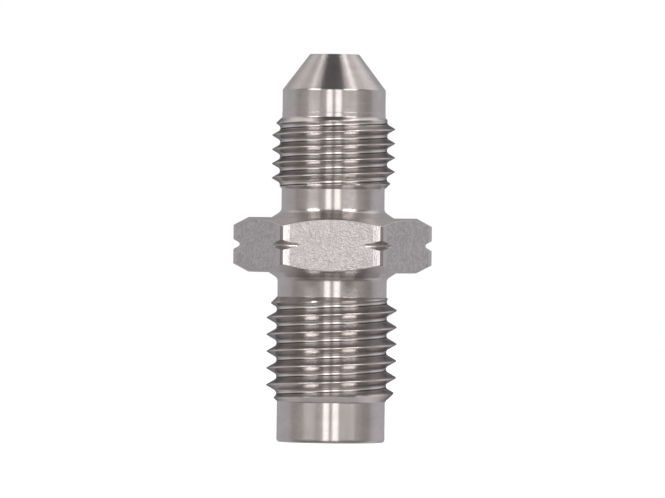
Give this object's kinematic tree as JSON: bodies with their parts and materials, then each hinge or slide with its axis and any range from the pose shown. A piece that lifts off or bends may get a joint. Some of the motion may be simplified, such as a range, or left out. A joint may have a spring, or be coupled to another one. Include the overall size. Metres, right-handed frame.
{
  "type": "hose adapter fitting",
  "caption": "Straight steel hose adapter with a flared cone and thread at one end, a hexagon in the middle, and a threaded port end with a plain nose. A bore runs through it.",
  "frame": {"origin": "on the axis, at the level of the port end's flat face, which it stands on", "axes": "+Z runs along the axis from the port end to the tip of the flare cone. The hexagon has flats that face +Y and -Y and corners at +X and -X"},
  "size_m": [0.0148, 0.013, 0.0288],
  "materials": {
    "steel": "fine turned surfaces, with tumbled hexagon flats"
  },
  "bodies": {
    "root": {"adapter_body": "steel"}
  },
  "joints": []
}
